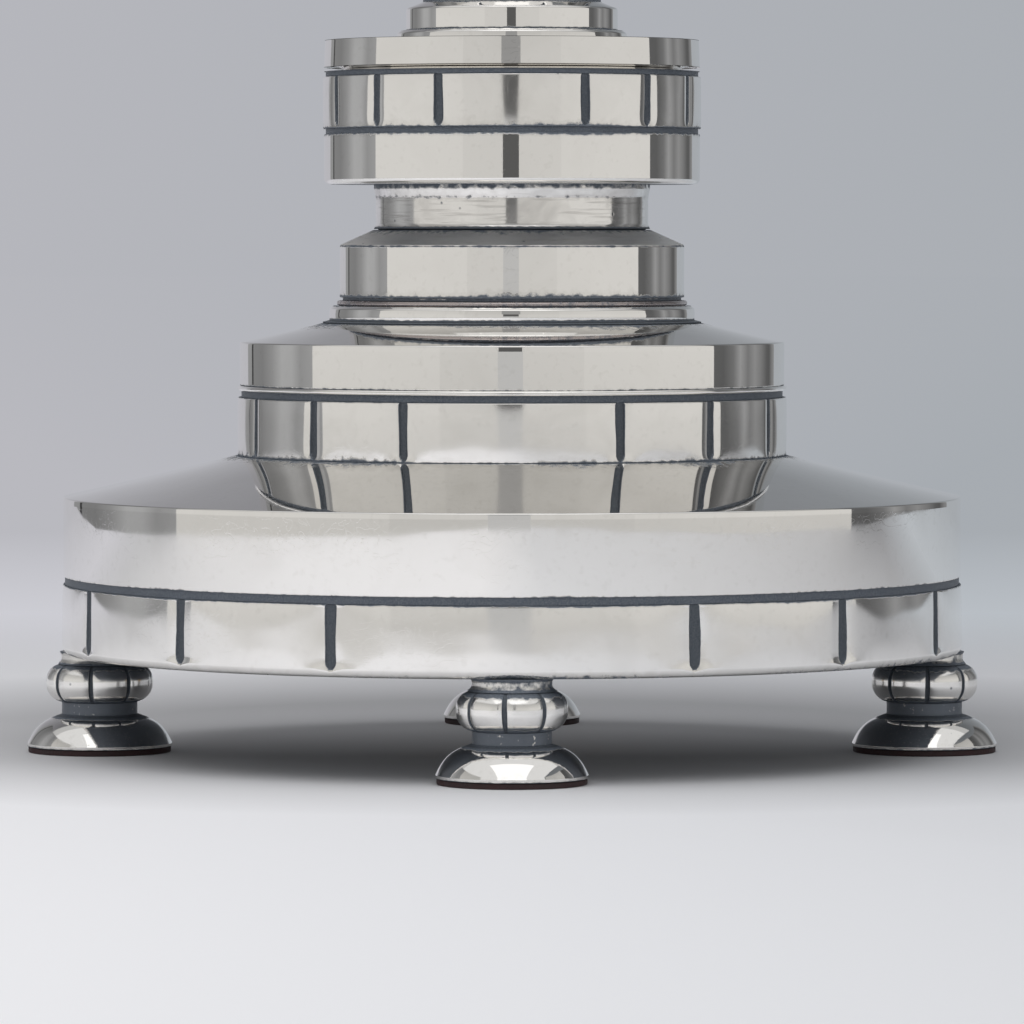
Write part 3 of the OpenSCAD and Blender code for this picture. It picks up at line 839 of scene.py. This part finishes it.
def pointed(start, end):
    """Grooves that narrow to rounded ends at these two heights."""
    return lambda z: np.sqrt(np.clip(np.minimum(z - start, end - z) / GROOVE_TIP, 0, 1))


def band_grooves(width, seed):
    """The twelve grooves of a chased band, with shoulders in keeping with their width."""
    return [Groove(math.radians(a), width, seed + i, width / 10, width)
            for i, a in enumerate(BAND_GROOVES_DEG)]


def eased(points):
    """Inner corners of a curve through some points, each rounded as far as its neighbours allow."""
    corners = []
    for before, here, after in zip(points, points[1:], points[2:]):
        into = Vector(here) - Vector(before)
        out = Vector(after) - Vector(here)
        room = min(into.length, out.length) / 2
        turn = max(into.angle(out), 1e-4)
        corners.append((*here, room / math.tan(turn / 2)))
    return corners


def hollowed(start, end, steps=5):
    """Inner corners of a cone that is a little hollow halfway between its ends."""
    start, end = Vector(start), Vector(end)
    run = end - start
    out = Vector((run.y, -run.x))
    rise = [-4 * CONE_HOLLOW * k / steps * (1 - k / steps) for k in range(steps + 1)]
    return eased([tuple(start + run * k / steps + out * rise[k]) for k in range(steps + 1)])


def drum_shell(node_name, material, skirt_r, line_z, band_z, cone, above):
    """Skirt, dark line, plain band, rounded edge and slightly hollow cone with its flat seat.

    The cone ends at the foot of the piece above.
    """
    band_r, bottom = radius(node_name), low(node_name)
    top_r, top_z = radius(above), low(above)
    edge_z = top_z - cone
    outline = rounded([
        (skirt_r - SHEET, bottom, SOFT), (skirt_r, bottom, SOFT), (skirt_r, line_z, SOFT),
        (band_r - INSET, line_z, SOFT), (band_r - INSET, band_z, SOFT),
        (band_r - LEAN, band_z, 0.2 * MM), (band_r, edge_z - LEAN_H, 5 * MM),
        (band_r - LEAN, edge_z, EDGE), *hollowed((band_r, edge_z), (top_r, top_z)),
        (top_r, top_z, SOFT), (top_r - SEAT, top_z, SOFT), (top_r - SEAT, top_z - SHEET, SOFT),
        (top_r, top_z - SHEET, SOFT), (band_r - SHEET - INSET, edge_z - SHEET, SOFT),
        (skirt_r - SHEET, line_z, SOFT)])
    # The last stain darkens the cone for 6 mm out from the foot of the piece above
    stains = [(band_r - INSET, line_z, band_r - INSET, band_z, 0.5 * MM),
              (top_r, top_z, top_r - SEAT, top_z, 0.5 * MM),
              (top_r, top_z, top_r - SEAT, top_z, 6 * MM, 0.5)]
    turned(node_name, material, outline, stains)


def plain_chased_band(node_name, material, inner_r, seed, bottom_round=CRISP,
                      low_end=0.15 * MM, width=SMALL_GROOVE, lean=0.0):
    """A chased band, whose grooves end a little above its lower edge, leaning in at its top."""
    r, bottom, top = extent(node_name)
    outline = rounded([(inner_r, bottom, SOFT), (r, bottom, bottom_round),
                       (r - lean, top, 0.18 * MM), (inner_r, top, SOFT)], step=0.7 * MM)
    taper = pointed(bottom + low_end, top + GROOVE_TIP * 0.7)
    stains = [spot(r - 0.4 * MM, top, 0.5 * MM)]
    if bottom_round == CRISP:
        stains += [spot(r, bottom, 0.5 * MM), spot(r, bottom, 1.6 * MM, 0.5)]
    else:
        stains += [(r, bottom, inner_r, bottom, 1.3 * MM, 0.5)]
    reach = (min(9 * MM, r * 0.12), (top - bottom) * 0.38)
    piece = chased(node_name + "_finish", outline, band_grooves(width, seed), r, inner_r, taper,
                   stains, dents=0.035 * MM, seed=seed, reach=reach,
                   drop=(reach[0] * 0.014, reach[1] * 0.018))
    finish(piece, material, "silver", node_name)


def base(m):
    r, line_z = radius("base_chased_band"), high("base_chased_band")
    plain_chased_band("base_chased_band", m["chased"], r - BAND, 11, 1.3 * MM, 1.1 * MM, WIDE_GROOVE,
                      lean=BASE_LEAN)
    drum_shell("base_shell", m["polished"], r - BAND, line_z, line_z + BASE_LINE, BASE_CONE,
               "middle_chased_band")


def wire(node_name, material, inner_r, level=0.0):
    """A half-round wire around a drum."""
    r, bottom, top = extent(node_name)
    half = (top - bottom) / 2
    outline = rounded([(inner_r, bottom, 0), (r, bottom, half * 0.999), (r, top, half * 0.999),
                       (inner_r, top, 0)], arc_steps=8)
    turned(node_name, material, outline, level=level)


def middle_drum(m):
    r, line_z = radius("middle_chased_band"), high("middle_chased_band")
    plain_chased_band("middle_chased_band", m["chased"], r - BAND, 31)
    wire("middle_wire", m["bright"], radius("middle_shell") - INSET)
    drum_shell("middle_shell", m["polished"], r - BAND, line_z, high("middle_wire"), MIDDLE_CONE,
               "waist_moulding")


def moulding_piece(node_name, material, inner_r, flip=False):
    """Moulding with a wide foot of dark solder, a face and a rounded top."""
    foot_r, bottom, top = extent(node_name)
    face_r = foot_r - 1.2 * MM
    if flip:
        bottom, top = top, bottom
    up = -1 if flip else 1
    corners = [(inner_r, bottom, SHARP), (foot_r, bottom, 0.15 * MM),
               (foot_r - 0.2 * MM, bottom + up * 0.25 * MM, 0.15 * MM),
               (face_r - 0.1 * MM, bottom + up * 0.5 * MM, 0.1 * MM),
               (face_r, bottom + up * 1.4 * MM, 5 * MM),
               (face_r - 0.12 * MM, top - up * 0.4 * MM, 0.5 * MM),
               (face_r - 0.7 * MM, top, 0.2 * MM), (inner_r, top, SHARP)]
    outline = rounded(corners[::up], fine=0.1 * MM, step=1 * MM)
    stains = [(foot_r, bottom, face_r, bottom + up * 0.5 * MM, 0.5 * MM, 1.3),
              spot(face_r - MM, top, 0.7 * MM)]
    turned(node_name, material, outline, stains)


def waist(m):
    r, bottom, top = extent("waist_drum")
    moulding_piece("waist_moulding", m["polished"], r - SEAT)
    wire("waist_wire", m["dull_wire"], r - SEAT, 0.30)
    step = 0.5 * MM
    drum = rounded([
        (r - SEAT, bottom, SOFT), (r - step, bottom, SOFT), (r - step, bottom + step, SOFT),
        (r, bottom + step, 0.12 * MM), (r, top, 0.1 * MM), (r - SHEET, top, 0.1 * MM),
        (r - SHEET, bottom + SHEET, SOFT), (r - SEAT, bottom + SHEET, SOFT)])
    turned("waist_drum", m["polished"], drum,
           [(r - step, bottom, r, bottom + step, 0.75 * MM, 1.0),
            spot(r, top, 0.3 * MM, 0.7), spot(r, bottom + step, 1.6 * MM, 0.5)])
    neck_r = radius("neck")
    foot_r = neck_r + 0.1 * MM
    shoulder_top = high("waist_shoulder")
    shoulder = rounded([
        (r - SEAT, top, SOFT), (r, top, 0.08 * MM), (r - 0.15 * MM, top + 0.25 * MM, 0.1 * MM),
        (foot_r, shoulder_top, 0.1 * MM), (foot_r - SEAT, shoulder_top, SOFT),
        (foot_r - SEAT, shoulder_top - SHEET, SOFT), (foot_r, shoulder_top - SHEET, SOFT)],
        step=1 * MM)
    turned("waist_shoulder", m["shoulder"], shoulder,
           [(foot_r, shoulder_top, foot_r - SEAT, shoulder_top, 0.7 * MM),
            (foot_r, shoulder_top, foot_r - SEAT, shoulder_top, 3.4 * MM, 0.6),
            spot(r, top, 0.5 * MM, 0.75)])
    wall_r = neck_r - 0.3 * MM
    bottom, top = low("neck"), high("neck")
    solder_z = top - 0.8 * MM
    tube = rounded([
        (wall_r - SHEET, bottom, SOFT), (wall_r - 0.4 * MM, bottom, SOFT),
        (wall_r - 0.4 * MM, bottom + 0.15 * MM, SOFT),
        (neck_r, bottom + 0.15 * MM, SHARP), (wall_r, bottom + 1.0 * MM, 1.2 * MM),
        (wall_r, top - 2.2 * MM, 2 * MM), (neck_r, solder_z, 0.3 * MM), (neck_r, top, SHARP),
        (wall_r - SHEET, top, SOFT)], step=1 * MM)
    turned("neck", m["neck"], tube,
           [(wall_r - 0.4 * MM, bottom, neck_r, bottom + 0.2 * MM, 0.6 * MM, 1.3),
            (neck_r, solder_z + 0.3 * MM, neck_r, top, 0.9 * MM, 0.62),
            (wall_r, top - 2.2 * MM, wall_r, top - 2.1 * MM, 0.9 * MM, 0.42)])


def knop(m):
    r, bottom = radius("knop_plain_band"), low("knop_plain_band")
    inner = r - BAND
    chased_low, chased_high = low("knop_chased_band"), high("knop_chased_band")
    top = high("knop_plain_band")
    line_z = chased_low - KNOP_LINE
    floor_z = bottom + SHEET
    plain = rounded([
        (inner, bottom, SHARP), (r, bottom, 0.9 * MM), (r, line_z, 0.2 * MM),
        (r - INSET, line_z, SOFT), (r - INSET, chased_low, SOFT), (inner, chased_low, SOFT),
        (inner, top, SOFT), (inner - SHEET, top, SOFT), (inner - SHEET, floor_z, SOFT),
        (inner, floor_z, SHARP)])
    turned("knop_plain_band", m["polished"], plain,
           [(r - INSET, line_z, r - INSET, chased_low, 0.85 * MM), spot(inner, bottom, 0.8 * MM)])
    plain_chased_band("knop_chased_band", m["chased"], inner, 51)
    drum_shell("knop_cap", m["polished"], inner, chased_high, chased_high + KNOP_LINE, KNOP_CONE,
               "column_lower_moulding")


def collar_piece(node_name, material, flip=False):
    """Short drum with a cone on the side that faces the column."""
    r, bottom, top = extent(node_name)
    column_r = radius("column")
    if flip:
        bottom, top = top, bottom
    up = -1 if flip else 1
    inner = column_r - 2 * MM
    corners = [(inner, bottom, SHARP), (r, bottom, 0.12 * MM),
               (r, top - up * 1.5 * MM, 0.5 * MM), (column_r + 0.4 * MM, top - up * 0.4 * MM, 0.1 * MM),
               (column_r + 0.4 * MM, top, 0.08 * MM), (inner, top, SHARP)]
    turned(node_name, material, rounded(corners[::up], step=1 * MM),
           [spot(r, bottom, 0.4 * MM),
            (column_r + 0.4 * MM, top - up * 0.3 * MM, column_r + 0.4 * MM, top, 0.7 * MM)])


def column(m):
    r, bottom, top = extent("column")
    inner = r - SHEET - 0.4 * MM
    moulding_piece("column_lower_moulding", m["polished"], r - 2 * MM)
    moulding_piece("column_upper_moulding", m["polished"], r - 2 * MM, flip=True)
    collar_piece("column_lower_collar", m["polished"])
    collar_piece("column_upper_collar", m["polished"], flip=True)
    outline = rounded([(inner, bottom, SHARP), (r, bottom, 0.08 * MM), (r, top, 0.08 * MM),
                       (inner, top, SHARP)], step=1.5 * MM)
    grooves = [Groove(math.radians(a), COLUMN_GROOVE, 70 + i, 0.1 * MM, 1.4 * MM)
               for i, a in enumerate(COLUMN_GROOVES_DEG)]

    def ends(z):
        from_end = np.minimum(z - bottom, top - z) - MM
        return np.sqrt(np.clip(from_end / GROOVE_TIP, 0, 1))
    piece = chased("column_finish", outline, grooves, r, inner, ends,
                   [spot(r, bottom, 0.8 * MM), spot(r, top, 0.8 * MM)],
                   step=1 * MM, dents=0.03 * MM, seed=71)
    finish(piece, m["chased"], "silver", "column")


def pan(m):
    small_r, cone_top = radius("column_upper_moulding"), high("pan_support")
    cone_r, cone_low = radius("pan_support"), low("pan_support")
    cone = rounded([
        (small_r - SEAT, cone_low, SOFT), (small_r, cone_low, SOFT), (cone_r, cone_top, SOFT),
        (cone_r - SEAT, cone_top, SOFT), (small_r - 0.5 * MM, cone_low + SHEET, SOFT),
        (small_r - SEAT, cone_low + SHEET, SOFT)], step=1.5 * MM)
    turned("pan_support", m["polished"], cone,
           [spot(small_r, cone_low, 0.8 * MM), spot(cone_r, cone_top, 0.8 * MM)])
    floor_r, floor_low, floor_top = extent("drip_pan")
    disc = rounded([(ROD_HOLE, floor_low, SHARP), (floor_r, floor_low, SHARP),
                    (floor_r, floor_top, SHARP), (ROD_HOLE, floor_top, SHARP)], step=2 * MM)
    cup_r = radius("cup_moulding")
    turned("drip_pan", m["worn"], disc,
           [spot(floor_r, floor_top, 1.2 * MM),
            (cup_r, floor_top, cup_r - MM, floor_top, 0.9 * MM)])
    plain_chased_band("pan_chased_wall", m["chased"], floor_r, 81, 0.9 * MM, 0.8 * MM)
    wire("pan_rim_wire", m["bright"], floor_r)


def cup(m):
    moulding_piece("cup_moulding", m["polished"], LINER_R)
    plain_chased_band("cup_chased_band", m["chased"], LINER_R, 91)
    bottom, top = low("candle_cup"), high("candle_cup")
    line_z = high("cup_chased_band")
    lip_r = radius("cup_chased_band") - 0.8 * MM
    plain_z = line_z + MIDDLE_LINE
    bore = LINER_R - 1.4 * MM
    liner = rounded([
        (ROD_HOLE, bottom, SHARP), (LINER_R, bottom, SHARP), (LINER_R, line_z, SHARP),
        (lip_r - INSET, line_z, SHARP), (lip_r - INSET, plain_z, SOFT),
        (lip_r, plain_z, 0.2 * MM), (lip_r, top, 0.25 * MM), (bore, top, 0.15 * MM),
        (bore, bottom + SHEET, 0.2 * MM), (ROD_HOLE, bottom + SHEET, SHARP)], step=2 * MM)
    turned("candle_cup", m["polished"], liner,
           [(lip_r - INSET, line_z, lip_r - INSET, plain_z, 0.8 * MM),
            spot(bore, bottom + SHEET, 1.5 * MM)])


def nozzle(m):
    r, bottom, top = extent("nozzle_sleeve")
    floor_z = bottom + SHEET
    sleeve = rounded([
        (0, bottom, 0), (r, bottom, 0.4 * MM), (r, top, SHARP), (CANDLE_R, top, 0.12 * MM),
        (CANDLE_R, floor_z, 0.3 * MM), (0, floor_z, 0)], closed=False, step=2 * MM)
    turned("nozzle_sleeve", m["worn"], sleeve,
           [spot(CANDLE_R, floor_z, 1.6 * MM)], poles=True, body=NOZZLE)
    flange_r, low_z, high_z = extent("nozzle_flange")
    rim = 0.88 * MM
    ring = rounded([
        (r, low_z, SHARP), (flange_r, low_z, rim), (flange_r, high_z, rim),
        (flange_r - 1.9 * MM, high_z, 0.5 * MM), (flange_r - 2.3 * MM, top, 0.8 * MM),
        (r, top, SHARP)], step=1.5 * MM, arc_steps=8)
    turned("nozzle_flange", m["polished"], ring,
           [spot(flange_r - 2.3 * MM, top, 0.9 * MM), spot(r, top, 0.4 * MM)], body=NOZZLE)


# ---------- feet ----------

def foot_pad(foot, material):
    name = "foot_pad_" + foot
    r, top = half_width(name), high(name)
    outline = rounded([(0, 0, 0), (r, 0, 0.2 * MM), (r, top, 0.25 * MM), (0, top, 0)],
                      closed=False, step=3 * MM)
    turned(name, material, outline, at=middle(name), poles=True, segments=96, slot="pad")


def foot_dome(foot, material):
    """Flared foot that grows steeper towards its thin rim."""
    name = "foot_dome_" + foot
    r, bottom, top = extent(name, half_width)
    neck_r = half_width("foot_neck_" + foot)
    fall = top - bottom - DOME_LIP
    face = []
    for k in range(DOME_STEPS, -1, -1):
        out = k / DOME_STEPS
        drop = DOME_EVEN * out + (1 - DOME_EVEN) * out ** 4
        face.append((neck_r + (r - neck_r) * out, top - fall * drop))
    outline = rounded([(SCREW_HOLE, bottom, SHARP), (r, bottom, 0.12 * MM),
                       (*face[0], 0.15 * MM), *eased(face), (*face[-1], SHARP),
                       (SCREW_HOLE, top, SHARP)], step=1 * MM, arc_steps=2)
    stains = [(neck_r + 0.8 * MM, top - 0.4 * MM, SCREW_HOLE, top, 1.6 * MM, 1.2),
              (r, bottom, r - 2 * MM, bottom, 0.2 * MM)]
    turned(name, material, outline, stains, at=middle(name), segments=128)


def foot_neck(foot, material):
    name = "foot_neck_" + foot
    r, bottom, top = extent(name, half_width)
    outline = rounded([(SCREW_HOLE, bottom, SHARP), (r, bottom, SHARP),
                       (r, top, SHARP), (SCREW_HOLE, top, SHARP)], step=0.8 * MM)
    turned(name, material, outline, at=middle(name), segments=96, slot="oxidised_silver")


def foot_bead(foot, material):
    """Flat-sided bead with strongly rounded ends, pressed into eight lobes."""
    name = "foot_bead_" + foot
    centre = middle(name)
    r, bottom, top = extent(name, half_width)
    outline = rounded([(SCREW_HOLE, bottom, SHARP), (r, bottom, 3 * MM), (r, top, 2.6 * MM),
                       (SCREW_HOLE, top, SHARP)], step=0.4 * MM, arc_steps=14)
    grooves = [Groove(math.radians(BEAD_TURN_DEG[foot] + 45 * k), BEAD_GROOVE,
                      100 + 10 * FEET.index(foot) + k, 0.30 * MM, 1.5 * MM) for k in range(8)]
    inner = half_width("foot_collar_" + foot) - 1.8 * MM
    piece = chased(name + "_finish", outline, grooves, r, inner, straight,
                   [(inner + 2 * MM, top, inner, top, 1.9 * MM, 1.1),
                    (inner + 2 * MM, bottom, inner, bottom, 1.0 * MM, 1.1)],
                   at=centre, step=0.5 * MM, dents=0.04 * MM, seed=FEET.index(foot))
    finish(piece, material, "silver", name)


def foot_collar(foot, material):
    """Pitted solder collar, narrow in the middle, that spreads over the bead."""
    name = "foot_collar_" + foot
    foot_r, bottom, top = extent(name, half_width)
    r = foot_r - 0.6 * MM
    outline = rounded([
        (SCREW_HOLE, bottom, SHARP), (foot_r, bottom, SHARP),
        (r, bottom + 0.75 * MM, 0.7 * MM), (r, top - 0.6 * MM, 0.5 * MM),
        (r + 0.3 * MM, top, SHARP), (SCREW_HOLE, top, SHARP)], step=0.5 * MM)
    stains = [spot(foot_r, bottom, 0.9 * MM, 1.1), (foot_r, top, r, top, 0.8 * MM, 0.85)]
    turned(name, material, outline, stains, at=middle(name), segments=96, level=0.33)


def feet(m):
    for foot in FEET:
        foot_pad(foot, m["pad"])
        foot_dome(foot, m["dome"])
        foot_neck(foot, m["oxide"])
        foot_bead(foot, m["bead"])
        foot_collar(foot, m["solder"])


def keep_cad(names, material):
    """Gives a better material to CAD nodes that keep their own meshes."""
    for name in names:
        mesh = frame["nodes"][name].data
        mesh.materials.clear()
        mesh.materials.append(material)


def materials():
    return {
        "polished": silver("polished_silver", gloss=0.012, scratches=0.1, wave=1.0),
        "bright": silver("bright_wire", gloss=0.05, film=0.1),
        "chased": silver("chased_silver", gloss=0.05, film=0.25, scratches=0.25, wave=3.0, pits=0.3),
        "worn": silver("worn_silver", gloss=0.07, film=0.5, scratches=0.6, wave=4.0, pits=0.6),
        "shoulder": silver("shoulder_silver", gloss=0.28, film=0.5, scratches=0.6, wave=4.0, pits=2.0,
                           turned=0.7, least=0.15),
        "neck": silver("neck_silver", gloss=0.05, film=0.8, scratches=0.6, wave=8.0, pits=0.8, turned=0.6,
                       film_tint=NECK_FILM),
        "dome": silver("dome_silver", gloss=0.035, film=0.2, pits=0.8),
        "bead": silver("bead_silver", gloss=0.11, film=0.3, pits=0.8),
        "solder": silver("solder", gloss=0.16, film=0.9, wave=3.0, pits=2.5, least=0.5),
        "dull_wire": silver("dull_wire", gloss=0.10, pits=2.0, film_tint=FILM_DULL, least=0.85),
        "oxide": dark_silver("oxidised_silver"),
        "pad": leather("dark_leather"),
        "brass": brass("dull_brass"),
    }


camera()
stage()
made = materials()
feet(made)
base(made)
middle_drum(made)
waist(made)
knop(made)
column(made)
pan(made)
cup(made)
nozzle(made)
# Painted shade: the base plate's underside and the knop's floor get the dark oxidised material
keep_cad(("base_plate", "knop_floor"), made["oxide"])
keep_cad(("foot_screws", "foot_washers", "foot_nuts", "tie_rod", "tie_washer", "tie_nut",
          "cup_boss"), made["brass"])
